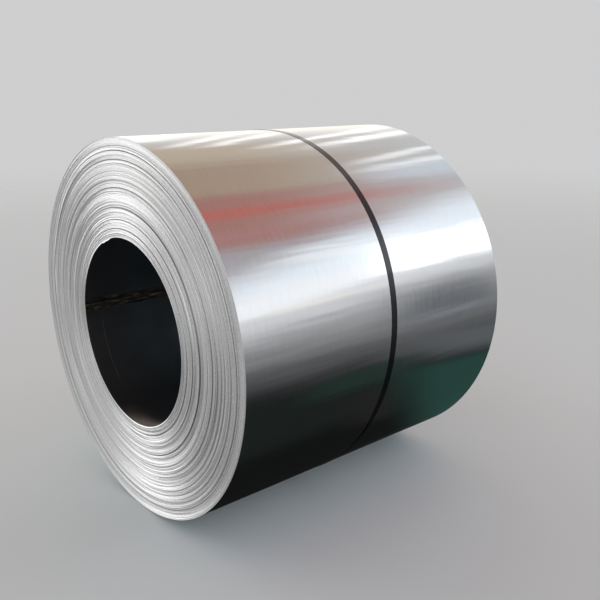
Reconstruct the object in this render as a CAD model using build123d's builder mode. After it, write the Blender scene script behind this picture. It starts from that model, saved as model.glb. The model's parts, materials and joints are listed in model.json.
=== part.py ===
"""Coil of bright steel strip lying on its side, held by one steel strap around its circumference.

Millimetres, +Z up, +Y along the axis of the eye. The origin is on the floor, midway between the
two ends and straight below the axis. The end that faces -Y is called the near end.
"""
import os
from itertools import cycle
from math import cos, degrees, radians, sin

from build123d import *

# Wound strip
bore_diameter = 508.0
outside_diameter = 1016.0
strip_width = 914.0
strip_thickness = 1.0

# Groups of turns from the outer wrap inwards: how many turns each has, and how far
# the group has slid along the axis, towards the near end where it is negative
turn_groups = (
    (21, 1.0), (12, 2.2), (12, 0.8), (10, 1.9), (14, 0.6), (22, 1.4), (16, 0.2), (19, 0.9),
    (29, -0.5), (22, 0.3), (12, -1.3), (18, -0.3), (8, -1.5), (15, -0.7), (24, -2.0),
)

# Ends of the strip: the tail on the outer wrap and the head in the bore, as angles about
# the axis from +X towards +Z, and the arc over which each end's step dies away, onwards
# from the tail and back from the head
tail_angle = 238.0
head_angle = 176.0
lap_arc = 56.0

# Strap, which leans away from square to the axis
strap_width = 19.0
strap_thickness = 0.9
strap_from_near_end = 439.0
strap_lean = 5.6
strap_leans_towards = 48.5
strap_overlap = 150.0
strap_ramp = 18.0

# Seal over the two ends of the strap
seal_length = 32.0
seal_wall = 1.1
seal_clearance = 0.15
seal_corner_radius = 1.0
notch_radius = 2.4
notch_depth = 1.5
notch_pitch = 14.0

bore_radius = bore_diameter / 2
outside_radius = outside_diameter / 2
strap_outside_radius = outside_radius + strap_thickness
lap_outside_radius = strap_outside_radius + strap_thickness
axis_height = strap_outside_radius

# Round sections are drawn in this plane, centred on the axis and seen from the near end
end_plane = Plane(origin=(0, 0, axis_height), x_dir=(1, 0, 0), z_dir=(0, -1, 0))

# The strap lies flat in this plane, whose x axis points at the seal
seal_angle = strap_leans_towards + 90
strap_plane = Plane(
    origin=(0, strap_from_near_end - strip_width / 2, axis_height),
    x_dir=(cos(radians(seal_angle)), 0, sin(radians(seal_angle))),
    z_dir=(
        -sin(radians(strap_lean)) * cos(radians(strap_leans_towards)),
        cos(radians(strap_lean)),
        -sin(radians(strap_lean)) * sin(radians(strap_leans_towards)),
    ),
)
# The seal sits in this one, which touches the outer wrap: x along the strap and z outwards
seal_plane = Plane(
    origin=strap_plane.origin + strap_plane.x_dir * outside_radius,
    x_dir=strap_plane.y_dir,
    z_dir=strap_plane.x_dir,
)
seal_section = Plane(origin=seal_plane.origin, x_dir=seal_plane.y_dir, z_dir=seal_plane.x_dir)


def on_circle(radius, angle):
    """Point at a radius and an angle in the end plane."""
    return radius * cos(radians(angle)), radius * sin(radians(angle))


def winding_groups():
    """Outer radius, inner radius and slide of each group of turns, down to the bore."""
    groups = []
    outer = outside_radius
    for turns, slide in cycle(turn_groups):
        inner = outer - turns * strip_thickness
        if inner - bore_radius < 2 * strip_thickness:
            inner = bore_radius
        groups.append((outer, inner, slide))
        if inner == bore_radius:
            return groups
        outer = inner


def lap_sliver(wall_radius, step_radius, step_angle, arc):
    """Crescent that an end of the strip leaves along a wall: a step that dies away over an arc."""
    middle_angle = step_angle + arc / 2
    end_angle = step_angle + arc
    middle_radius = (2 * wall_radius + step_radius) / 3
    with BuildLine() as outline:
        ThreePointArc(
            on_circle(wall_radius, step_angle),
            on_circle(wall_radius, middle_angle),
            on_circle(wall_radius, end_angle),
        )
        ThreePointArc(
            on_circle(step_radius, step_angle),
            on_circle(middle_radius, middle_angle),
            on_circle(wall_radius, end_angle),
        )
        Line(on_circle(wall_radius, step_angle), on_circle(step_radius, step_angle))
    make_face(outline.edges())


def strap_lap():
    """Section of the strap's upper end, which runs over the lower one and ramps down past it."""
    half_angle = degrees(strap_overlap / 2 / outside_radius)
    ramp_end = seal_angle + half_angle + degrees(strap_ramp / outside_radius)
    start = seal_angle - half_angle
    end = seal_angle + half_angle
    with BuildLine() as outline:
        ThreePointArc(
            on_circle(lap_outside_radius, start),
            on_circle(lap_outside_radius, seal_angle),
            on_circle(lap_outside_radius, end),
        )
        Line(on_circle(lap_outside_radius, end), on_circle(strap_outside_radius, ramp_end))
        ThreePointArc(
            on_circle(strap_outside_radius, ramp_end),
            on_circle(strap_outside_radius, seal_angle),
            on_circle(strap_outside_radius, start),
        )
        Line(on_circle(strap_outside_radius, start), on_circle(lap_outside_radius, start))
    make_face(outline.edges())


def cut_notches():
    """Cut the crimper's half-round notches into both edges of what lies at the seal."""
    across = strap_width + 2 * (notch_radius - notch_depth)
    with BuildSketch(seal_plane) as notches:
        with GridLocations(notch_pitch, across, 2, 2):
            Circle(notch_radius)
    extrude(notches.sketch, amount=3 * strap_thickness + seal_wall, mode=Mode.SUBTRACT)


# Coil: every turn has the strip's width, so a group that stands out at one end is sunk at the other
groups = winding_groups()
slides = [slide for outer, inner, slide in groups]
middle_slide = (min(slides) + max(slides)) / 2

with BuildPart() as coil:
    with BuildSketch(Plane.XY.offset(axis_height)):
        for outer, inner, slide in groups:
            with Locations(((outer + inner) / 2, slide - middle_slide)):
                Rectangle(outer - inner, strip_width)
    revolve(axis=Axis((0, 0, axis_height), (0, 1, 0)))
    with BuildSketch(end_plane):
        lap_sliver(outside_radius, outside_radius - strip_thickness, tail_angle, lap_arc)
        lap_sliver(bore_radius, bore_radius + strip_thickness, head_angle, -lap_arc)
    extrude(amount=strip_width, both=True, mode=Mode.SUBTRACT)
coil.part.label = "coil"

# Strap
with BuildPart() as strap:
    with BuildSketch(end_plane):
        Circle(strap_outside_radius)
        strap_lap()
        Circle(outside_radius, mode=Mode.SUBTRACT)
    extrude(amount=strip_width / 2, both=True)
    with BuildSketch(strap_plane):
        Circle(outside_diameter)
    extrude(amount=strap_width / 2, both=True, mode=Mode.INTERSECT)
    cut_notches()
strap.part.label = "strap"

# Seal
with BuildPart() as strap_seal:
    inside_width = strap_width + 2 * seal_clearance
    inside_height = 2 * strap_thickness + seal_clearance
    with BuildSketch(seal_section) as section:
        with Locations((0, seal_clearance)):
            Rectangle(
                inside_width + 2 * seal_wall,
                inside_height + seal_wall - seal_clearance,
                align=(Align.CENTER, Align.MIN),
            )
        fillet(section.vertices().sort_by(Axis.Y)[-2:], seal_corner_radius)
        Rectangle(inside_width, inside_height, align=(Align.CENTER, Align.MIN), mode=Mode.SUBTRACT)
    extrude(amount=seal_length / 2, both=True)
    cut_notches()
strap_seal.part.label = "strap_seal"

os.makedirs("parts", exist_ok=True)
export_step(coil.part, "parts/coil.step")
export_step(strap.part, "parts/strap.step")
export_step(strap_seal.part, "parts/strap_seal.step")
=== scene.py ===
"""Looks of a coil of bright steel strip that lies on its side, held by one black steel strap.

Metres, +Z up, +Y along the axis of the eye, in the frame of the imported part. The end that faces
-Y is the near end. Angles about the axis run from +X towards +Z, and turns are counted from the
tail on the outer wrap inwards.
"""
import json
import logging
import random
from dataclasses import dataclass, field
from enum import Enum, IntEnum
from itertools import chain, cycle
from math import atan2, cos, hypot, pi, radians, sin

import bmesh
import bpy
import numpy as np
from mathutils import Matrix, Vector, noise


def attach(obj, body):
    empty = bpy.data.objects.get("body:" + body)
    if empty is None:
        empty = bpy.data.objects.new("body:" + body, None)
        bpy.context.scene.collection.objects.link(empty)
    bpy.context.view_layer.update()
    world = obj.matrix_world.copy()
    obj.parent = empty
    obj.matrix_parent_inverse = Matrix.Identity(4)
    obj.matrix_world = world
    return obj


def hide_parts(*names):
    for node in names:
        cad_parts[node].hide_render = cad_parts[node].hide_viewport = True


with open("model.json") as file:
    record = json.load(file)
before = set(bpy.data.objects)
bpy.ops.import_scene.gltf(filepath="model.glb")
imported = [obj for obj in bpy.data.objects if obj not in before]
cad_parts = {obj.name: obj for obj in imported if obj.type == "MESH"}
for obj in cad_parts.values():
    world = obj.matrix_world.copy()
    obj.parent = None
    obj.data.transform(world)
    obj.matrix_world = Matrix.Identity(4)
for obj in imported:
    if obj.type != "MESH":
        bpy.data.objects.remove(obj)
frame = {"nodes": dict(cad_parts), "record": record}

LOG = logging.getLogger("coil")
BODY = "root"
MM = 0.001
EYE = frame["record"]["mounts"][0]
EYE_HEIGHT = EYE["pos_m"][2]
Colour = tuple[float, float, float, float]
Light = tuple[float, float, float]
Span = tuple[float, float]


class Op(Enum):
    """Operations of the shader's Math node that the finishes use."""

    ADD = "ADD"
    SUBTRACT = "SUBTRACT"
    MULTIPLY = "MULTIPLY"
    DIVIDE = "DIVIDE"
    FRACTION = "FRACT"
    ABSOLUTE = "ABSOLUTE"
    ROOT = "SQRT"
    ARCSINE = "ARCSINE"
    ANGLE = "ARCTAN2"


class Mixed(Enum):
    """What a Mix node mixes: its data type, the numbers of its two inputs and of its output."""

    COLOUR = ("RGBA", 6, 7, 2)
    VECTOR = ("VECTOR", 4, 5, 1)


class Signal:
    """A shader socket that takes part in Python arithmetic."""

    def __init__(self, graph: "Graph", socket: bpy.types.NodeSocket) -> None:
        """Wrap a socket of a graph.

        Args:
            graph: the graph that the socket's node belongs to.
            socket: an output socket.
        """
        self.graph = graph
        self.socket = socket

    def combine(self, op: Op, other: "Signal | float | None" = None, swap: bool = False) -> "Signal":
        """Add one Math node.

        Args:
            op: what the node works out.
            other: the second value, if there is one.
            swap: put the second value first.

        Returns:
            The node's result.
        """
        values = [self, other] if other is not None else [self]
        if swap:
            values.reverse()
        return self.graph.node("ShaderNodeMath", {"operation": op.value}, dict(enumerate(values)))["Value"]

    def __add__(self, other: "Signal | float") -> "Signal":
        """Sum."""
        return self.combine(Op.ADD, other)

    __radd__ = __add__

    def __sub__(self, other: "Signal | float") -> "Signal":
        """Difference."""
        return self.combine(Op.SUBTRACT, other)

    def __rsub__(self, other: float) -> "Signal":
        """Difference, with this value taken away."""
        return self.combine(Op.SUBTRACT, other, swap=True)

    def __mul__(self, other: "Signal | float") -> "Signal":
        """Product."""
        return self.combine(Op.MULTIPLY, other)

    __rmul__ = __mul__

    def __truediv__(self, other: "Signal | float") -> "Signal":
        """Quotient."""
        return self.combine(Op.DIVIDE, other)

    def __rtruediv__(self, other: float) -> "Signal":
        """Quotient, with this value below."""
        return self.combine(Op.DIVIDE, other, swap=True)

    def __abs__(self) -> "Signal":
        """Size without sign."""
        return self.combine(Op.ABSOLUTE)

    def swing(self, reach: float) -> "Signal":
        """Turn a value from 0 to 1 into one that swings about 0, by half the reach each way."""
        return (self - 0.5) * reach

    def ramp(self, low: float, high: float, to_low: float = 0.0, to_high: float = 1.0) -> "Signal":
        """Smooth step between two values.

        Args:
            low: where the step starts.
            high: where it ends.
            to_low: the result at and before the start.
            to_high: the result at and after the end.

        Returns:
            The stepped value.
        """
        return self.graph.node(
            "ShaderNodeMapRange",
            {"interpolation_type": "SMOOTHSTEP"},
            {"Value": self, "From Min": low, "From Max": high, "To Min": to_low, "To Max": to_high},
        )["Result"]

    def fade(self, reach: float) -> "Signal":
        """Smooth step from 1 at zero down to 0 at the reach."""
        return self.ramp(0.0, reach, 1.0, 0.0)

    def between(self, rise: Span, fall: Span) -> "Signal":
        """Soft window: up from 0 to 1 over the rise, and down again over the fall."""
        return self.ramp(*rise) * self.ramp(*fall, 1.0, 0.0)


Value = Signal | float | tuple[float, ...]


@dataclass(frozen=True)
class Place:
    """Where a point of a surface lies, measured from the coil's axis, and its angle about the axis."""

    point: Signal
    x: Signal
    y: Signal
    z: Signal
    angle: Signal


class Graph:
    """Node graph of one material or of the world."""

    def __init__(self, owner: bpy.types.ID) -> None:
        """Empty the owner's graph.

        Args:
            owner: a material or a world.
        """
        owner.use_nodes = True
        self.owner = owner
        self.tree = owner.node_tree
        self.tree.nodes.clear()

    @classmethod
    def of_material(cls, name: str) -> "Graph":
        """Graph of a new material."""
        return cls(bpy.data.materials.new(name))

    def fill(self, made: bpy.types.Node, inputs: dict[str | int, Value]) -> None:
        """Set or link a node's inputs.

        Args:
            made: the node.
            inputs: values or Signals by socket name or number.
        """
        for key, value in inputs.items():
            if isinstance(value, Signal):
                self.tree.links.new(value.socket, made.inputs[key])
            else:
                made.inputs[key].default_value = value

    def node(self, kind: str, settings: dict[str, str], inputs: dict[str | int, Value]) -> dict[str, Signal]:
        """Add a node.

        Args:
            kind: the node's type.
            settings: its properties, which are set first.
            inputs: values or Signals by socket name or number.

        Returns:
            The node's outputs by name.
        """
        made = self.tree.nodes.new(kind)
        for key, value in settings.items():
            setattr(made, key, value)
        self.fill(made, inputs)
        return {out.name: Signal(self, out) for out in made.outputs if out.enabled}

    def blend(self, factor: Value, first: Value, second: Value, what: Mixed = Mixed.COLOUR) -> Signal:
        """Mix of two colours or vectors.

        Args:
            factor: how much of the second there is.
            first: a colour, a vector or a Signal.
            second: a colour, a vector or a Signal.
            what: colours or vectors.

        Returns:
            The mixture.
        """
        data_type, first_input, second_input, output = what.value
        made = self.tree.nodes.new("ShaderNodeMix")
        made.data_type = data_type
        self.fill(made, {0: factor, first_input: first, second_input: second})
        return Signal(self, made.outputs[output])

    def coats(self, base: Signal, *coats: tuple[Signal, Colour]) -> Signal:
        """Lay coats of colour over a base, one after the other.

        Args:
            base: the colour underneath.
            coats: how much of each coat there is, and its colour.

        Returns:
            The colour on top.
        """
        for share, colour in coats:
            base = self.blend(share, base, colour)
        return base

    def place(self) -> Place:
        """Read where each point of the surface lies.

        Returns:
            The place in Object coordinates, with its height from the axis.
        """
        point = self.node("ShaderNodeTexCoord", {}, {})["Object"]
        parts = self.node("ShaderNodeSeparateXYZ", {}, {"Vector": point})
        height = parts["Z"] - EYE_HEIGHT
        return Place(point, parts["X"], parts["Y"], height, height.combine(Op.ANGLE, parts["X"]))

    def attribute(self, name: str) -> Signal:
        """Number that the mesh carries at its corners."""
        return self.node("ShaderNodeAttribute", {"attribute_name": name}, {})["Fac"]

    def vector(self, x: Value, y: Value, z: Value) -> Signal:
        """Vector from three values."""
        return self.node("ShaderNodeCombineXYZ", {}, {"X": x, "Y": y, "Z": z})["Vector"]

    def noise(self, point: Signal, scale: float, detail: float = 2.0, roughness: float = 0.5) -> Signal:
        """Smooth noise from 0 to 1 in space.

        Args:
            point: where it is read.
            scale: how many features there are in a metre.
            detail: how many octaves it has.
            roughness: how strong the finer octaves are.

        Returns:
            The noise value.
        """
        return self.node(
            "ShaderNodeTexNoise",
            {"noise_dimensions": "3D"},
            {"Vector": point, "Scale": scale, "Detail": detail, "Roughness": roughness},
        )["Fac"]

    def line_noise(self, along: Signal, scale: float) -> Signal:
        """Smooth noise from 0 to 1 along one number.

        Args:
            along: the number.
            scale: how many features there are in a unit of it.

        Returns:
            The noise value.
        """
        return self.node(
            "ShaderNodeTexNoise", {"noise_dimensions": "1D"}, {"W": along, "Scale": scale, "Detail": 1.0}
        )["Fac"]

    def bump(self, height: Signal, strength: float, distance: float) -> Signal:
        """Normal of a surface that a height stands out of.

        Args:
            height: the height, from place to place.
            strength: how much of it shows.
            distance: how many metres a height of 1 is.

        Returns:
            The normal.
        """
        return self.node(
            "ShaderNodeBump", {}, {"Height": height, "Strength": strength, "Distance": distance}
        )["Normal"]

    def surface(self, **inputs: Value) -> bpy.types.Material:
        """Finish a material with a Principled shader.

        Args:
            inputs: its sockets, with spaces written as underscores.

        Returns:
            The material.
        """
        values = {key.replace("_", " "): value for key, value in inputs.items()}
        shader = self.node("ShaderNodeBsdfPrincipled", {}, values)["BSDF"]
        self.node("ShaderNodeOutputMaterial", {}, {"Surface": shader})
        return self.owner


def grey(value: float) -> Colour:
    """Neutral colour."""
    return (value, value, value, 1.0)


@dataclass(frozen=True)
class BrightWrap:
    """Rolled face of the strip, as the outer wrap shows it.

    A scale is how many features there are in a metre. A stretch below 1 draws them out, around the
    coil for the streaks and along the axis for the waves.
    """

    lightness: float = 0.66
    lightness_change: float = 0.06
    roughness: float = 0.12
    patch_scale: float = 5.0
    patch_roughness: float = 0.06
    streak_scale: float = 260.0
    streak_stretch: float = 0.08
    streak_roughness: float = 0.08
    grain_scale: float = 1400.0
    grain_share: float = 0.6
    grain_height: float = 0.012 * MM
    wave_scale: float = 24.0
    wave_stretch: float = 0.1
    wave_height: float = 0.8 * MM

    def material(self) -> bpy.types.Material:
        """Make bright metal with a fine rolled grain that runs around the coil.

        Returns:
            The material.
        """
        graph = Graph.of_material("bright_wrap")
        at = graph.place()
        around = graph.vector(at.x * self.streak_stretch, at.y, at.z * self.streak_stretch)
        along = graph.vector(at.x, at.y * self.wave_stretch, at.z)
        streaks = graph.noise(around, self.streak_scale, detail=3.0, roughness=0.6)
        patches = graph.noise(at.point, self.patch_scale, detail=3.0)
        grain = graph.noise(at.point, self.grain_scale, detail=1.0)
        waves = graph.noise(along, self.wave_scale, detail=2.0, roughness=0.4)
        darker = grey(self.lightness * (1 - self.lightness_change))
        lighter = grey(self.lightness * (1 + self.lightness_change))
        rough = self.roughness + patches.swing(self.patch_roughness) + streaks.swing(self.streak_roughness)
        height = (grain * self.grain_share + streaks) * self.grain_height + waves * self.wave_height
        return graph.surface(
            Base_Color=graph.blend(streaks, darker, lighter),
            Metallic=1.0,
            Roughness=rough,
            Normal=graph.bump(height, strength=1.0, distance=1.0),
        )


@dataclass(frozen=True)
class SlitEdge:
    """Slit edges of the turns, side by side on the coil's ends.

    The tone of a point is a sum of shares, about a middle tone, and its lines are painted highlights
    and painted shade. More painted shade goes on top of it, in the gaps, along the dark lines and in
    the seams between turns.
    """

    lightness: float = 0.73
    darkest: float = 0.72
    lightest: float = 1.3
    middle_tone: float = 0.48
    turn_scale: float = 0.8
    turn_share: float = 1.0
    fleck_scale: float = 300.0
    fleck_share: float = 1.8
    line_share: float = 0.5
    # Painted shade: its colour, and how much of it the sunk gaps, the dark lines and the seams between turns
    # get
    shade: float = 0.05
    recess_shading: float = 0.26
    line_shading: float = 0.2
    seam_shading: float = 0.14
    seam_width: float = 0.14
    roughness: float = 0.4
    turn_roughness: float = 0.12
    metallic: float = 0.85

    def material(self) -> bpy.types.Material:
        """Make duller metal whose shade changes from turn to turn, with painted shade where a turn has sunk.

        Returns:
            The material.
        """
        graph = Graph.of_material("slit_edge")
        turn = graph.attribute("turn")
        line = graph.attribute("tone")
        recess = graph.attribute("recess")
        fine = graph.line_noise(turn, self.turn_scale)
        fleck = graph.noise(graph.place().point, self.fleck_scale, detail=3.0, roughness=0.8)
        seam = abs((turn + 0.5).combine(Op.FRACTION) - 0.5).fade(self.seam_width)
        # The tone's lines are painted: highlights where it is positive, shade where it is negative
        tone = fine.swing(self.turn_share) + fleck.swing(self.fleck_share) + line * self.line_share
        dark_line = line.ramp(0.0, -1.0)
        # Painted shade in the sunk gaps, along the dark lines and in the seams between turns
        dark = recess * self.recess_shading + dark_line * self.line_shading + seam * self.seam_shading
        metal = graph.blend(
            tone + self.middle_tone,
            grey(self.lightness * self.darkest),
            grey(self.lightness * self.lightest),
        )
        return graph.surface(
            Base_Color=graph.blend(dark, metal, grey(self.shade)),
            Metallic=self.metallic,
            Roughness=self.roughness + fine.swing(self.turn_roughness),
            Normal=graph.bump(fleck, strength=0.3, distance=0.2 * MM),
        )


@dataclass(frozen=True)
class EyeWall:
    """Dark oiled wall of the eye: a smear along the strip's inner end, a rubbed line, and pale dust low
    in the mouth, which also paints the light that falls in there.

    Depths are from the near end. Spans of angles and of noise are where a soft edge starts and
    where it ends.
    """

    near_end: float
    head_angle: float
    roughness: float = 0.35
    oil_roughness: float = 0.2
    smear_roughness: float = 0.15
    # Oil on the whole wall; the colour is lighter and bluer towards its top, and duller near the mouth
    thick_oil: Colour = (0.085, 0.105, 0.12, 1.0)
    thin_oil: Colour = (0.16, 0.175, 0.185, 1.0)
    oil_scale: float = 7.0
    upper_tint: Colour = (0.25, 0.31, 0.35, 1.0)
    upper_height: float = 0.25
    upper_share: float = 0.5
    mouth_oil: Colour = (0.135, 0.124, 0.122, 1.0)
    mouth_depth: float = 0.16
    mouth_share: float = 0.7
    # Smear: its edge as angles from the strip's inner end, and the threads in it
    smear_edge: Span = (0.05, 0.095)
    wander: float = 0.06
    wander_scale: float = 9.0
    thread_scale: float = 130.0
    thread_stretch: float = 0.12
    smear_brown: Colour = (0.045, 0.036, 0.028, 1.0)
    brown_share: float = 0.75
    smear_ochre: Colour = (0.36, 0.29, 0.18, 1.0)
    ochre_thread: Span = (0.53, 0.66)
    ochre_share: float = 0.9
    smear_black: Colour = (0.01, 0.009, 0.008, 1.0)
    black_thread: Span = (0.46, 0.38)
    # Rubbed line around part of the mouth
    line_depth: float = 0.047
    line_width: float = 1.2 * MM
    line_rise: Span = (-pi, -2.9)
    line_fall: Span = (-2.4, -2.2)
    line_lightness: float = 0.6
    line_share: float = 0.5
    # Dust low in the mouth, fading with depth, which also paints the light that falls in there
    dust_and_painted_light: Colour = (0.32, 0.28, 0.24, 1.0)
    dust_depth: float = 0.07
    dust_rise: Span = (-2.0, -1.45)
    dust_fall: Span = (-1.2, -0.7)
    dust_cloud: Span = (0.1, 0.6)
    dust_least: float = 0.6
    cloud_scale: float = 22.0
    metallic: float = 0.9
    dust_metallic: float = 0.2

    def smear_coats(self, graph: Graph, at: Place, smear: Signal) -> list[tuple[Signal, Colour]]:
        """Work out the smear's colours: brown, with ochre and black threads drawn along the axis.

        Args:
            graph: the wall's graph.
            at: the place on the wall.
            smear: how much of the smear there is.

        Returns:
            How much of each coat there is, and its colour.
        """
        drawn_out = graph.vector(at.x, at.y * self.thread_stretch, at.z)
        thread = graph.noise(drawn_out, self.thread_scale, detail=3.0, roughness=0.65)
        return [
            (smear * self.brown_share, self.smear_brown),
            (smear * thread.ramp(*self.ochre_thread) * self.ochre_share, self.smear_ochre),
            (smear * thread.ramp(*self.black_thread), self.smear_black),
        ]

    def material(self) -> bpy.types.Material:
        """Make dark metal with a brown smear beside the strip's inner end.

        Returns:
            The material.
        """
        graph = Graph.of_material("eye_wall")
        at = graph.place()
        depth = at.y - self.near_end
        oil = graph.noise(at.point, self.oil_scale, detail=3.0)
        cloud = graph.noise(at.point, self.cloud_scale, detail=4.0, roughness=0.6)
        wander = graph.noise(at.point, self.wander_scale, detail=2.0).swing(self.wander)
        smear = abs(at.angle - self.head_angle + wander).ramp(*self.smear_edge, 1.0, 0.0)
        rubbed = at.angle.between(self.line_rise, self.line_fall)
        line = abs(depth - self.line_depth).fade(self.line_width) * rubbed
        low = at.angle.between(self.dust_rise, self.dust_fall)
        # Pale dust, which also paints the light falling in low at the mouth: less of it deeper in
        dust_and_painted_light = low * depth.fade(self.dust_depth) * cloud.ramp(*self.dust_cloud, self.dust_least, 1.0)
        colour = graph.coats(
            graph.blend(oil, self.thick_oil, self.thin_oil),
            (at.z.ramp(0.0, self.upper_height) * self.upper_share, self.upper_tint),
            (depth.ramp(0.0, self.mouth_depth, self.mouth_share, 0.0), self.mouth_oil),
            *self.smear_coats(graph, at, smear),
            (line * self.line_share, grey(self.line_lightness)),
            (dust_and_painted_light, self.dust_and_painted_light),
        )
        return graph.surface(
            Base_Color=colour,
            Metallic=dust_and_painted_light.ramp(0.0, 1.0, self.metallic, self.dust_metallic),
            Roughness=self.roughness + oil.swing(self.oil_roughness) + smear * self.smear_roughness,
            Normal=graph.bump(cloud, strength=0.1, distance=2 * MM),
        )


@dataclass(frozen=True)
class BlackStrapping:
    """Black waxed face of the strap, with a painted sheen on its shoulder and a lighter painted sheen on its
    top.

    Heights are above the axis, as shares of the radius.
    """

    radius: float
    wax: Colour = (0.0025, 0.0025, 0.003, 1.0)
    rubbed_wax: Colour = (0.008, 0.0075, 0.009, 1.0)
    # Painted sheen: a lighter colour on the shoulder of the strap
    shoulder_sheen: Colour = (0.05, 0.046, 0.047, 1.0)
    shoulder_sheen_height: Span = (0.6, 0.86)
    sheen_change: float = 0.6
    sheen_least: float = 0.7
    # Painted sheen: a still lighter colour on the top of the strap
    dust_and_painted_light: Colour = (0.24, 0.22, 0.22, 1.0)
    top_sheen_height: Span = (0.88, 1.0)
    rub_scale: float = 600.0
    rub_stretch: float = 0.1
    patch_scale: float = 30.0
    roughness: float = 0.08
    rub_roughness: float = 0.1

    def material(self) -> bpy.types.Material:
        """Make near-black glossy wax with faint rub marks along its length, and painted sheen on its
        shoulder and its top.

        Returns:
            The material.
        """
        graph = Graph.of_material("black_strapping")
        at = graph.place()
        lengthwise = graph.vector(at.x * self.rub_stretch, at.y, at.z * self.rub_stretch)
        rub = graph.noise(lengthwise, self.rub_scale, detail=3.0)
        patch = graph.noise(at.point, self.patch_scale, detail=3.0)
        height = at.z / self.radius
        sheen_strength = patch * self.sheen_change + self.sheen_least
        # Painted sheen over the wax, on the shoulder and then on the top
        colour = graph.coats(
            graph.blend(rub * patch, self.wax, self.rubbed_wax),
            (height.ramp(*self.shoulder_sheen_height) * sheen_strength, self.shoulder_sheen),
            (height.ramp(*self.top_sheen_height), self.dust_and_painted_light),
        )
        return graph.surface(
            Base_Color=colour,
            Metallic=0.0,
            Roughness=self.roughness + rub * self.rub_roughness,
            Normal=graph.bump(rub, strength=0.15, distance=0.2 * MM),
        )


@dataclass(frozen=True)
class ZincSeal:
    """Zinc plated sheet of the seal."""

    darkest: float = 0.3
    lightest: float = 0.46
    bloom_scale: float = 160.0
    roughness: float = 0.34
    bloom_roughness: float = 0.2

    def material(self) -> bpy.types.Material:
        """Make grey plated steel with a faint cloudy bloom.

        Returns:
            The material.
        """
        graph = Graph.of_material("zinc_seal")
        bloom = graph.noise(graph.place().point, self.bloom_scale, detail=4.0)
        return graph.surface(
            Base_Color=graph.blend(bloom, grey(self.darkest), grey(self.lightest)),
            Metallic=1.0,
            Roughness=self.roughness + bloom * self.bloom_roughness,
            Normal=graph.bump(bloom, strength=0.15, distance=0.3 * MM),
        )


def add_piece(name: str, bm: bmesh.types.BMesh, materials: list[bpy.types.Material]) -> bpy.types.Object:
    """Turn a bmesh into a piece at the origin.

    Args:
        name: the piece's name.
        bm: its mesh, which is freed.
        materials: its material slots in order.

    Returns:
        The new object.
    """
    mesh = bpy.data.meshes.new(name)
    bm.to_mesh(mesh)
    bm.free()
    for material in materials:
        mesh.materials.append(material)
    piece = bpy.data.objects.new(name, mesh)
    bpy.context.scene.collection.objects.link(piece)
    LOG.info("%s: %d faces", name, len(mesh.polygons))
    return piece


def smooth(low: float, high: float, value: float) -> float:
    """Smooth step from 0 at low to 1 at high, where low may be the larger one."""
    part = min(max((value - low) / (high - low), 0.0), 1.0)
    return part * part * (3 - 2 * part)


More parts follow.
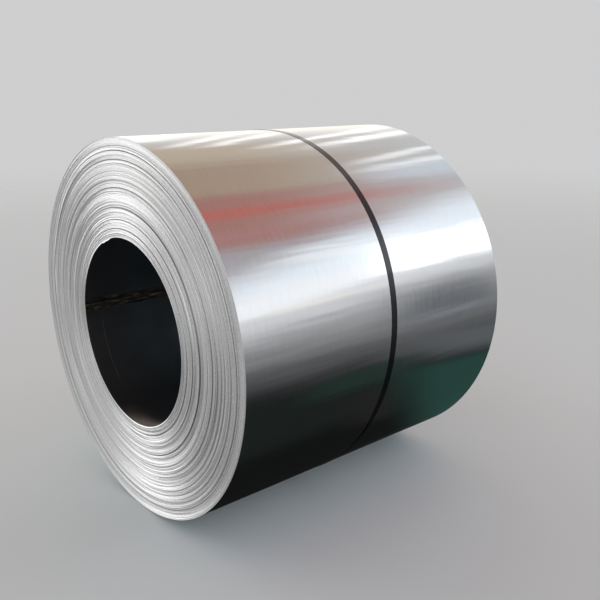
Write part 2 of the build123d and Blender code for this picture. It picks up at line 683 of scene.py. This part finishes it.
@dataclass
class TurnEdges:
    """How the strip's edges lie along its length, in turns from its tail.

    Groups of turns have slid sideways, and small groups and waves a little more within them. Here
    and there a turn has sunk and leaves an open gap. Every other turn's edge stands out a little.
    The tone holds painted lines along some turns: shade where negative, highlights where positive.
    """

    turns: int
    groups: tuple[tuple[int, float], ...]
    seed: int = 11
    samples: int = 48
    soft: float = 0.04
    group_change: float = 0.4
    # Gaps, the strongest of which have a painted line of shade: depths are shares of the deepest gap
    gap_depth: float = 1.2 * MM
    strong_gaps: tuple[float, ...] = (
        26.4, 64.3, 78.6, 114.2, 134.6, 145.5, 164.3, 175.8, 238.3, 243.6, 248.4,
    )
    strong_depth: Span = (0.5, 1.0)
    strong_width: Span = (1.0, 1.8)
    strong_shade: Span = (0.4, 0.9)
    # Turns with a painted highlight line along them
    highlight_turns: tuple[float, ...] = (154.4, 213.9)
    highlight_width: float = 2.0
    # Small groups: how many turns they have, how far they slide, and the gap and the painted line behind
    # them
    small_group: Span = (1.6, 5.0)
    small_slide: float = 0.09 * MM
    small_depth: float = 0.5
    small_width: Span = (0.8, 1.6)
    small_shade: float = 0.8
    # Changes at a few knots of every turn, of the slide and of the ridges, and longer waves
    knots: int = 6
    jitter: float = 0.08 * MM
    ridge: float = 0.24 * MM
    ridge_change: float = 0.2
    least_ridge: float = 0.2
    ridge_sharpness: float = 10.0
    ridge_drift: float = 2.0
    drift_scale: float = 0.02
    drift_line: Span = (7.7, 1.1)
    wave: float = 0.32 * MM
    wave_turns: float = 2.7

    along: np.ndarray = field(init=False, repr=False)
    slide: np.ndarray = field(init=False, repr=False)
    gap: np.ndarray = field(init=False, repr=False)
    # Painted lines along the strip: shade where negative, highlights where positive
    tone: np.ndarray = field(init=False, repr=False)
    height: np.ndarray = field(init=False, repr=False)

    def __post_init__(self) -> None:
        """Work out the slide, the gaps, the tone and the height of the ridges along the strip."""
        rng = random.Random(self.seed)
        self.along = np.arange(0, self.turns + 1, 1 / self.samples)
        self.slide = np.zeros_like(self.along)
        self.gap = np.zeros_like(self.along)
        self.tone = np.zeros_like(self.along)
        self.slide_groups(rng)
        for place in self.strong_gaps:
            self.open_strong_gap(place, rng)
        for place in self.highlight_turns:
            self.draw_line(place, self.highlight_width, 1.0)
        self.slide_small_groups(rng)
        self.vary_turns(rng)

    def slide_groups(self, rng: random.Random) -> None:
        """Slide each group about the middle of all the slides, and open a gap behind it.

        Args:
            rng: the source of the small differences.
        """
        offsets = [offset for _, offset in self.groups]
        middle = (min(offsets) + max(offsets)) / 2
        start = 0.0
        for count, offset in cycle(self.groups):
            end = start + count + rng.uniform(-self.group_change, self.group_change)
            self.step(self.slide, start, end, (offset - middle) * MM)
            self.open_strong_gap(end, rng)
            start = end
            if start > self.turns:
                break

    def slide_small_groups(self, rng: random.Random) -> None:
        """Slide a few turns at a time a little, with a shallow gap and a faint painted line behind them,
        darker or lighter at random.

        Args:
            rng: the source of their lengths, slides, gaps and lines.
        """
        start = 0.0
        while start < self.turns:
            end = start + rng.uniform(*self.small_group)
            self.step(self.slide, start, end, rng.gauss(0, self.small_slide))
            self.open_gap(end, self.gap_depth * rng.random() ** 2 * self.small_depth)
            width = rng.uniform(*self.small_width)
            self.draw_line(end, width, rng.uniform(-self.small_shade, self.small_shade))
            start = end

    def vary_turns(self, rng: random.Random) -> None:
        """Vary the slide and the ridges at the knots of each turn, and add the longer waves.

        Args:
            rng: the source of the changes.
        """
        knots = np.arange(0, self.turns + 1.2, 1 / self.knots)
        self.slide += np.interp(self.along, knots, [rng.gauss(0, self.jitter) for _ in knots])
        heights = [max(rng.gauss(1.0, self.ridge_change), self.least_ridge) for _ in knots]
        self.height = np.interp(self.along, knots, heights) * self.ridge
        crests = np.arange(0, self.turns + 2 * self.wave_turns, self.wave_turns)
        self.slide += np.interp(self.along, crests, [rng.gauss(0, self.wave) for _ in crests])

    def step(self, values: np.ndarray, start: float, end: float, amount: float) -> None:
        """Add an amount between two places, with short soft ends.

        Args:
            values: the values along the strip, which are changed.
            start: where the stretch starts.
            end: where it ends.
            amount: what is added to it.
        """
        rise = np.clip((self.along - start) / self.soft + 0.5, 0, 1)
        fall = np.clip((end - self.along) / self.soft + 0.5, 0, 1)
        values += amount * np.minimum(rise, fall)

    def open_gap(self, place: float, depth: float) -> None:
        """Sink one turn's edge at a place, for one time round."""
        self.step(self.gap, place - 1, place, depth)

    def draw_line(self, place: float, width: float, shade: float) -> None:
        """Paint a line on a few turns' edges about a place: painted shade where the shade is negative, a
        painted highlight where it is positive.
        """
        self.step(self.tone, place - width / 2, place + width / 2, shade)

    def open_strong_gap(self, place: float, rng: random.Random) -> None:
        """Open a deep gap at a place, with a painted line of shade about it."""
        self.open_gap(place, self.gap_depth * rng.uniform(*self.strong_depth))
        self.draw_line(place, rng.uniform(*self.strong_width), -rng.uniform(*self.strong_shade))

    def read(self, values: np.ndarray, turn: float) -> float:
        """Read the values along the strip at one place.

        Args:
            values: the values.
            turn: the place, in turns.

        Returns:
            The value there.
        """
        spot = min(max(turn, 0.0), float(self.turns)) * self.samples
        first = int(spot)
        part = spot - first
        return float(values[first] * (1 - part) + values[first + 1] * part)

    def ridge_at(self, turn: float) -> float:
        """How far a turn's edge stands out past its neighbours, which do the opposite.

        Args:
            turn: the place, in turns.

        Returns:
            The distance, negative where the edge lies deeper than its neighbours.
        """
        drift = self.ridge_drift * noise.noise(Vector((self.drift_scale * turn, *self.drift_line)))
        sharp = min(max(self.ridge_sharpness * cos(pi * (turn + drift)), -1.0), 1.0)
        return self.read(self.height, turn) * sharp

    def shift(self, turn: float, side: int) -> float:
        """How far a turn's edge is moved along the axis.

        Args:
            turn: the place, in turns.
            side: 1 at the far end and -1 at the near end.

        Returns:
            The distance towards +Y.
        """
        sunk = self.read(self.gap, turn) - self.ridge_at(turn)
        return self.read(self.slide, turn) - side * sunk


@dataclass(frozen=True)
class BentRim:
    """Stretch of the eye's near rim that is bent inwards, with a small dip in it."""

    start: float = radians(106.5)
    end: float = radians(118)
    rise: float = radians(2.5)
    fall: float = radians(2.0)
    dip_at: float = radians(112.6)
    dip_reach: float = radians(2.2)
    dip: float = 0.3
    amount: float = 3.6 * MM
    depth: float = 35 * MM
    turns: float = 7.0

    def inwards(self, angle: float, depth: float, turns: float) -> float:
        """How far a point of the coil is bent inwards.

        Args:
            angle: its angle about the axis.
            depth: how far it is from the near end.
            turns: how many turns lie between it and the eye.

        Returns:
            The distance, which is nothing away from the rim.
        """
        rise = smooth(self.start, self.start + self.rise, angle)
        fall = smooth(self.end, self.end - self.fall, angle)
        dip = self.dip * smooth(self.dip_reach, 0.0, abs(angle - self.dip_at))
        near_mouth = smooth(self.depth, 0.0, depth)
        near_wall = smooth(self.turns, 0.0, turns)
        return self.amount * max(rise * fall - dip, 0.0) * near_mouth * near_wall


class Look(IntEnum):
    """Material slots of the wound coil."""

    WRAP = 0
    EDGE = 1
    EYE = 2


Layers = dict[str, bmesh.types.BMLayerItem]


@dataclass
class WoundCoil:
    """The strip wound on itself: one closed turned form, with a ridge for each turn on its ends.

    Each of the turn groups, from the outer wrap inwards, has a number of turns and the millimetres
    that they have slid along the axis. The eye rows are the depths of its wall's rows of corners.
    """

    bore_radius: float
    width: float
    outside_radius: float = 0.508
    turn: float = 1.0 * MM
    # Ends of the strip: the tail's step on the wrap, the head's step in the eye with half its width
    # as a share of once round, and the arc over which both die away
    tail_angle: float = radians(238)
    head_angle: float = radians(176)
    head_step: float = 0.0004
    lap_arc: float = radians(56)
    # Broken corners of the rims, and how far from the ends the look of the slit edges reaches
    rim_break: float = 0.9 * MM
    edge_depth: float = 1.2 * MM
    turn_groups: tuple[tuple[int, float], ...] = (
        (21, 1.0), (12, 2.2), (12, 0.8), (10, 1.9), (14, 0.6), (22, 1.4), (16, 0.2), (19, 0.9),
        (29, -0.5), (22, 0.3), (12, -1.3), (18, -0.3), (8, -1.5), (15, -0.7), (24, -2.0),
    )
    bent_rim: BentRim = BentRim()
    swell: float = 0.35 * MM
    swells_around: float = 3.0
    swells_along: float = 7.0
    # Corners of the turned form: its columns around, its rows along, and what is welded or creased
    columns: int = 144
    wrap_rows: int = 24
    eye_rows: tuple[float, ...] = (0.0006, 0.004, 0.010, 0.020, 0.045, 0.12, 0.30, 0.457)
    weld: float = 0.02 * MM
    crease_angle: float = radians(14)
    crease_rise: float = 0.3

    turns: int = field(init=False)
    edges: TurnEdges = field(init=False, repr=False)
    parts: list[float] = field(init=False, repr=False)

    def __post_init__(self) -> None:
        """Lay out the turns and the columns of the turned form, with two columns at the head's step."""
        self.turns = round((self.outside_radius - self.bore_radius) / self.turn)
        self.edges = TurnEdges(self.turns, self.turn_groups)
        self.parts = [column / self.columns for column in range(self.columns + 1)]
        head = ((self.head_angle - self.tail_angle) / (2 * pi)) % 1
        nearest = int(head * self.columns)
        self.parts[nearest], self.parts[nearest + 1] = head - self.head_step, head + self.head_step

    @property
    def pitch(self) -> float:
        """Angle between two columns of the section while it is spun, which leaves a gap of one."""
        return 2 * pi / (self.columns + 1)

    @property
    def middle_radius(self) -> float:
        """Radius halfway between the eye's wall and the outer wrap."""
        return (self.bore_radius + self.outside_radius) / 2

    def outline(self) -> list[tuple[float, float]]:
        """Lay out the section of the coil's wall before its turns slide.

        Returns:
            The radius and the depth of each corner, in order.
        """
        end, outer, bore = self.width / 2, self.outside_radius, self.bore_radius
        rings = [outer - (number + 0.5) * self.turn for number in range(self.turns)]
        near_eye = [(bore, -end + row) for row in self.eye_rows]
        far_eye = [(bore, end - row) for row in reversed(self.eye_rows[:-1])]
        reach = end - self.rim_break
        wrap = [(outer, reach - 2 * reach * row / self.wrap_rows) for row in range(self.wrap_rows + 1)]
        near = [(radius, -end) for radius in rings]
        far = [(radius, end) for radius in reversed(rings)]
        return near + near_eye + far_eye + far + wrap

    def wall_radius(self, angle: float) -> float:
        """Radius of the eye's wall, which steps out where the strip's inner end leaves it."""
        before = (self.head_angle - angle) % (2 * pi)
        return self.bore_radius + self.turn * smooth(self.lap_arc, 0.0, before)

    def swell_at(self, angle: float, depth: float) -> float:
        """How far the outer wrap swells out at a point.

        Args:
            angle: the point's angle about the axis.
            depth: its place along the axis.

        Returns:
            The distance, negative where the wrap sinks.
        """
        around_x, around_z = self.swells_around * cos(angle), self.swells_around * sin(angle)
        return self.swell * noise.noise(Vector((around_x, self.swells_along * depth, around_z)))

    def label(self, vert: bmesh.types.BMVert, number: float, layers: Layers) -> None:
        """Note at a corner of an end which turn it is on, how far that has sunk, which sets its painted
        shade, and its tone, which holds the painted lines.

        Args:
            vert: the corner.
            number: its place along the strip, in turns.
            layers: the mesh's number layers by name.
        """
        gap = self.edges.read(self.edges.gap, number)
        tone = self.edges.read(self.edges.tone, number)
        vert[layers["turn"]] = number
        vert[layers["recess"]] = min(max(gap / self.edges.gap_depth, 0.0), 1.0)
        vert[layers["tone"]] = min(max(tone, -1.0), 1.0)

    def settle(self, vert: bmesh.types.BMVert, part: float, layers: Layers) -> None:
        """Move a corner of the turned form to its place in the wound coil.

        Args:
            vert: the corner, which still has its radius and depth from the outline.
            part: how far round from the tail it is, from 0 to 1.
            layers: the mesh's number layers by name.
        """
        radius = hypot(vert.co.x, vert.co.z)
        depth = vert.co.y
        angle = (self.tail_angle + 2 * pi * part) % (2 * pi)
        lap = self.turn * (1 - smooth(0.0, self.lap_arc, 2 * pi * part))
        wall = self.wall_radius(angle)
        if self.width / 2 - abs(depth) < self.weld:
            number = round((self.outside_radius - radius) / self.turn - 0.5) + 1 - part
            depth += self.edges.shift(number, -1 if depth < 0 else 1)
            radius = max(radius - lap, wall + self.weld)
            self.label(vert, number, layers)
        elif radius > self.middle_radius:
            depth += self.edges.read(self.edges.slide, 1 - part)
            radius += self.swell_at(angle, depth) - lap
        else:
            depth += self.edges.read(self.edges.slide, self.turns)
            radius = wall
        turns_out = (radius - self.bore_radius) / self.turn
        radius -= self.bent_rim.inwards(angle, depth + self.width / 2, turns_out)
        vert.co = Vector((radius * cos(angle), depth, EYE_HEIGHT + radius * sin(angle)))

    def spin_outline(self) -> tuple[bmesh.types.BMesh, Layers]:
        """Turn the section most of the way round, with its faces sorted by what they show.

        Returns:
            The mesh and its number layers.
        """
        bm = bmesh.new()
        layers = {name: bm.verts.layers.float.new(name) for name in ("turn", "recess", "tone")}
        corners = [bm.verts.new((radius, depth, 0)) for radius, depth in self.outline()]
        edges = [bm.edges.new(pair) for pair in zip(corners, corners[1:] + corners[:1])]
        bmesh.ops.spin(
            bm, geom=corners + edges, cent=(0, 0, 0), axis=(0, -1, 0), dvec=(0, 0, 0),
            angle=self.pitch * self.columns, steps=self.columns,
        )
        for face in bm.faces:
            face.smooth = True
            first = face.verts[0].co
            if all(abs(vert.co.y) > self.width / 2 - self.edge_depth for vert in face.verts):
                face.material_index = Look.EDGE
            elif hypot(first.x, first.z) < self.middle_radius:
                face.material_index = Look.EYE
        return bm, layers

    def crease(self, bm: bmesh.types.BMesh) -> None:
        """Make the turns' edges and the real corners sharp.

        Args:
            bm: the closed form, in its place.
        """
        for edge in bm.edges:
            if len(edge.link_faces) != 2:
                continue
            first, second = (hypot(vert.co.x, vert.co.z - EYE_HEIGHT) for vert in edge.verts)
            around = abs(first - second) < self.crease_rise * self.turn
            on_end = all(face.material_index == Look.EDGE for face in edge.link_faces)
            edge.smooth = not (around and on_end or edge.calc_face_angle(0) > self.crease_angle)

    def looks(self) -> list[bpy.types.Material]:
        """Materials in the order of their slots."""
        eye = EyeWall(near_end=-self.width / 2, head_angle=self.head_angle)
        return [BrightWrap().material(), SlitEdge().material(), eye.material()]

    def build(self) -> bpy.types.Object:
        """Spin the section, settle its turns and close it at the tail.

        Returns:
            The coil's piece.
        """
        bm, layers = self.spin_outline()
        seam = []
        for vert in bm.verts:
            column = round((atan2(vert.co.z, vert.co.x) % (2 * pi)) / self.pitch)
            if column in (0, self.columns):
                seam.append(vert)
            self.settle(vert, self.parts[column], layers)
        bmesh.ops.remove_doubles(bm, verts=seam, dist=self.weld)
        bmesh.ops.holes_fill(bm, edges=[edge for edge in bm.edges if edge.is_boundary], sides=0)
        bmesh.ops.recalc_face_normals(bm, faces=bm.faces)
        self.crease(bm)
        LOG.info("open edges left: %d", sum(1 for edge in bm.edges if not edge.is_manifold))
        piece = add_piece("wound_strip", bm, self.looks())
        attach(piece, BODY)
        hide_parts("coil")
        return piece


@dataclass
class Strapping:
    """The strap and its seal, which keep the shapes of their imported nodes."""

    radius: float

    def dress(self) -> None:
        """Give both nodes their finishes."""
        for node, finish in (("strap", BlackStrapping(self.radius)), ("strap_seal", ZincSeal())):
            materials = frame["nodes"][node].data.materials
            materials.clear()
            materials.append(finish.material())
            LOG.info("%s: dressed", node)


class Bearing(Enum):
    """Pair of angles that places a light: one sideways and one upwards, in degrees."""

    COMPASS = "azimuth from +X and elevation"
    AXIS = "lean from square to the axis towards +Y, and turn about the axis from +X"


# Sideways angle at which a slanted light's foot and top are at the angles that it gives
LEVEL_LEAN = 44.0


@dataclass(frozen=True)
class Glow:
    """Soft-edged part of the surroundings, whose angles and soft widths are in degrees.

    The widths are of its sides, its foot and its top. The slants are how much its foot and its top
    rise for each degree sideways.
    """

    sideways: Span
    upwards: Span
    light: Light
    soft: tuple[float, float, float]
    bearing: Bearing = Bearing.COMPASS
    slants: Span = (0.0, 0.0)

    def share(self, ways: dict[Bearing, tuple[Signal, Signal]]) -> Signal:
        """How much of the light in a direction is this one's.

        Args:
            ways: the direction's two angles in each bearing.

        Returns:
            The share, from 0 to 1.
        """
        across, upright = ways[self.bearing]
        sides, foot, top = (width / 2 for width in self.soft)
        (left, right), (low, high) = self.sideways, self.upwards
        above, below = (
            upright - (across - LEVEL_LEAN) * slant if slant else upright for slant in self.slants
        )
        beside = across.between((left - sides, left + sides), (right - sides, right + sides))
        return beside * above.ramp(low - foot, low + foot) * below.ramp(high - top, high + top, 1.0, 0.0)


def strip_light(
    sideways: Span, upwards: Span, light: Light, soft: tuple[float, float, float], slants: Span = (0.0, 0.0)
) -> Glow:
    """Glow that runs along the coil's axis, as a strip light beside it does."""
    return Glow(sideways, upwards, light, soft, Bearing.AXIS, slants)


def even(strength: float) -> Light:
    """Light without a tint."""
    return (strength, strength, strength)


@dataclass(frozen=True)
class Studio:
    """Floor, camera and soft light from all around."""

    camera_azimuth: float = radians(49.12)
    camera_elevation: float = radians(15.76)
    camera_place: tuple[float, float, float] = (1.754, -1.380, 1.1444)
    lens: float = 46.04
    sensor: float = 36.0
    floor_radius: float = 12.0
    floor_tint: Colour = (0.655, 0.73, 0.757, 1.0)
    floor_roughness: float = 0.7
    floor_fade: Span = (2.5, 10.0)
    backdrop: float = 0.62

    # Light from all around, which rises from nearly nothing below to its full strength above
    base_tint: Light = (0.97, 1.0, 1.03)
    base_elevations: Span = (-46, 15)
    base_strength: float = 0.72
    base_least: float = 0.009

    # Lights that the near end mirrors
    near_end_glows: tuple[Glow, ...] = (
        Glow((-210, -72), (-70, -3), even(0.44), (20, 10, 14)),
        Glow((165, 210), (-70, -3), even(0.44), (20, 10, 14)),
        Glow((-166, -120), (-44, -23), even(0.22), (10, 8, 4)),
        Glow((-155, -90), (-65, -37), even(0.22), (12, 10, 10)),
        Glow((-198, -160), (-44, -30), even(1.0), (10, 8, 6)),
        Glow((-190, -130), (-17, 2), even(0.74), (16, 12, 12)),
        Glow((-200, -166), (-14, 14), even(1.2), (12, 10, 12)),
        Glow((152, 200), (-17, 12), even(1.25), (14, 8, 12)),
        Glow((-130, -86), (-8, 26), even(0.42), (10, 10, 12)),
        Glow((-178, -148), (-11, 5), even(2.2), (8, 6, 6)),
        Glow((-190, -135), (2, 30), even(2.6), (10, 8, 12)),
        Glow((162, 192), (-8, 12), even(2.3), (8, 6, 8)),
        Glow((-181, -160), (-7, 6), even(3.4), (6, 5, 5)),
        Glow((-80, -30), (12, 40), even(1.3), (16, 10, 10)),
    )
    # Warm and red light over the wrap, with cool strips towards its far end
    upper_glows: tuple[Glow, ...] = (
        strip_light((-25, 42.5), (88, 146), (0.67, 0.56, 0.44), (20, 12, 24)),
        strip_light((-25, 42.5), (84, 120), (0.51, 0.39, 0.30), (20, 12, 14)),
        strip_light((-25, 48), (38, 62), (0.52, 0.50, 0.53), (4, 6, 8)),
        strip_light((-25, 44.5), (54, 91), (0.50, 0.26, 0.23), (20, 10, 8)),
        strip_light((-25, 45.5), (73.5, 81.5), (0.64, 0.21, 0.18), (20, 5, 5)),
        strip_light((-25, 42), (60, 65), (0.56, 0.29, 0.28), (14, 5, 4)),
        strip_light((46.2, 60), (88, 105), (0.80, 0.86, 0.95), (5, 6, 8)),
        strip_light((46.0, 60), (97, 101), (1.36, 1.40, 1.45), (6, 4, 4), (0.9, 0.9)),
        strip_light((45.2, 60), (103.8, 107.8), (1.48, 1.50, 1.53), (4, 4, 4), (2.0, 2.0)),
    )
    # Upright lights, low on the far side
    upright_glows: tuple[Glow, ...] = (
        Glow((118, 165), (-3, 20), (1.22, 1.17, 1.09), (8, 6, 20)),
        Glow((124.8, 127.6), (19, 33), (1.7, 1.7, 1.72), (1.5, 6, 8)),
        Glow((130.8, 132.8), (12, 33), (1.7, 1.68, 1.66), (1.5, 6, 8)),
        Glow((138.3, 139.8), (16, 31), (1.7, 1.66, 1.6), (1.5, 6, 8)),
        Glow((142, 143.6), (10, 30), (1.6, 1.55, 1.5), (1.5, 6, 8)),
        Glow((147, 160), (-3, 22), (1.5, 1.46, 1.4), (4, 6, 8)),
    )
    # Bright band along the side of the wrap
    band_glows: tuple[Glow, ...] = (
        strip_light((0, 90), (16, 50.5), (1.18, 1.28, 1.40), (1, 6, 26), (0.5, 1.95)),
        strip_light((0, 90), (10, 24), (1.02, 1.04, 1.08), (1, 19, 4), (0.6, 0.6)),
        strip_light((0, 90), (18.8, 30), (1.32, 1.36, 1.41), (1, 3, 8), (0.65, 0.65)),
        strip_light((46, 90), (21.5, 43), (2.3, 2.4, 2.5), (3, 3, 6)),
        strip_light((39, 47), (45.8, 48), (1.40, 1.48, 1.56), (5, 1.6, 1.6)),
        strip_light((38, 45), (40.2, 42), (1.44, 1.50, 1.56), (5, 1.6, 1.6)),
        strip_light((36, 45.5), (12.8, 14.2), (1.40, 1.28, 1.14), (6, 1.0, 1.0)),
        strip_light((38, 43.5), (3.5, 7.5), (0.92, 0.94, 0.98), (5, 4, 4)),
    )
    # Dim light, low at the side and from below
    low_glows: tuple[Glow, ...] = (
        strip_light((46.3, 52.8), (-24, 4), (0.17, 0.18, 0.20), (4, 8, 16)),
        strip_light((45.6, 90), (-41, -22), (0.14, 0.15, 0.16), (5, 15, 8), (-1.9, -1.9)),
        strip_light((47.6, 52), (-17.6, -14.8), (0.34, 0.36, 0.38), (4, 2.2, 2.2)),
        strip_light((0, 44), (-78, -40), (0.016, 0.02, 0.019), (2, 20, 12)),
        strip_light((44.8, 90), (-160, -49), (0.028, 0.074, 0.062), (5, 10, 12), (-1.5, -1.5)),
        strip_light((38, 46), (-52, -38), (0.024, 0.045, 0.037), (6, 8, 8)),
        strip_light((40.5, 43.4), (-90, -54), (0.023, 0.022, 0.021), (3, 10, 8)),
    )

    def build(self) -> None:
        """Make the floor, the camera and the surroundings."""
        self.floor()
        self.camera()
        self.surroundings()
        bpy.context.scene.view_settings.view_transform = "Standard"

    def camera(self) -> None:
        """Place the camera where the photograph was taken from."""
        data = bpy.data.cameras.new("camera")
        data.lens = self.lens
        data.sensor_width = self.sensor
        camera = bpy.data.objects.new("camera", data)
        tilt = Matrix.Rotation(pi / 2 - self.camera_elevation, 4, "X")
        turn = Matrix.Rotation(self.camera_azimuth, 4, "Z")
        camera.matrix_world = Matrix.Translation(Vector(self.camera_place)) @ (turn @ tilt)
        bpy.context.scene.collection.objects.link(camera)
        bpy.context.scene.camera = camera

    def floor(self) -> None:
        """Lay the plain pale floor, which fades into the backdrop far out."""
        bm = bmesh.new()
        bmesh.ops.create_circle(bm, cap_ends=True, segments=96, radius=self.floor_radius)
        graph = Graph.of_material("pale_floor")
        at = graph.place()
        out = (at.x * at.x + at.y * at.y).combine(Op.ROOT)
        material = graph.surface(
            Base_Color=self.floor_tint,
            Roughness=self.floor_roughness,
            Alpha=out.ramp(*self.floor_fade, 1.0, 0.0),
        )
        floor = add_piece("floor", bm, [material])
        floor.visible_glossy = False

    def light_around(self, graph: Graph) -> Signal:
        """Work out the light that comes from a direction: the base, and the glows laid over it.

        Args:
            graph: the world's graph.

        Returns:
            The light's colour and strength.
        """
        way = graph.node("ShaderNodeTexCoord", {}, {})["Generated"]
        parts = graph.node("ShaderNodeSeparateXYZ", {}, {"Vector": way})
        degree = 180 / pi
        elevation = parts["Z"].combine(Op.ARCSINE) * degree
        azimuth = parts["Y"].combine(Op.ANGLE, parts["X"]) * degree
        lean = parts["Y"].combine(Op.ARCSINE) * degree
        turn = parts["Z"].combine(Op.ANGLE, parts["X"]) * degree
        ways = {Bearing.COMPASS: (azimuth, elevation), Bearing.AXIS: (lean, turn)}
        rise = elevation.ramp(*self.base_elevations)
        base = rise * rise * self.base_strength + self.base_least
        light = graph.vector(*(base * share for share in self.base_tint))
        for glow in chain(
            self.near_end_glows, self.upper_glows, self.upright_glows, self.band_glows, self.low_glows
        ):
            light = graph.blend(glow.share(ways), light, glow.light, Mixed.VECTOR)
        return light

    def surroundings(self) -> None:
        """Make the soft light all around, and the plain backdrop that the camera sees."""
        world = bpy.data.worlds.new("soft_surroundings")
        bpy.context.scene.world = world
        graph = Graph(world)
        light = self.light_around(graph)
        seen = graph.node("ShaderNodeLightPath", {}, {})["Is Camera Ray"]
        around = graph.node("ShaderNodeBackground", {}, {"Color": light, "Strength": 1.0})["Background"]
        plain = graph.node("ShaderNodeBackground", {}, {"Color": grey(self.backdrop)})["Background"]
        mixed = graph.node("ShaderNodeMixShader", {}, {0: seen, 1: around, 2: plain})["Shader"]
        graph.node("ShaderNodeOutputWorld", {}, {"Surface": mixed})


def main() -> None:
    """Build the studio, then dress every piece."""
    logging.basicConfig(level=logging.INFO, format="%(message)s")
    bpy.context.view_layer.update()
    Studio().build()
    coil = WoundCoil(bore_radius=EYE["dims"]["r_mm"] * MM, width=EYE["dims"]["length_mm"] * MM)
    coil.build()
    Strapping(coil.outside_radius).dress()


if __name__ == "__main__":
    main()
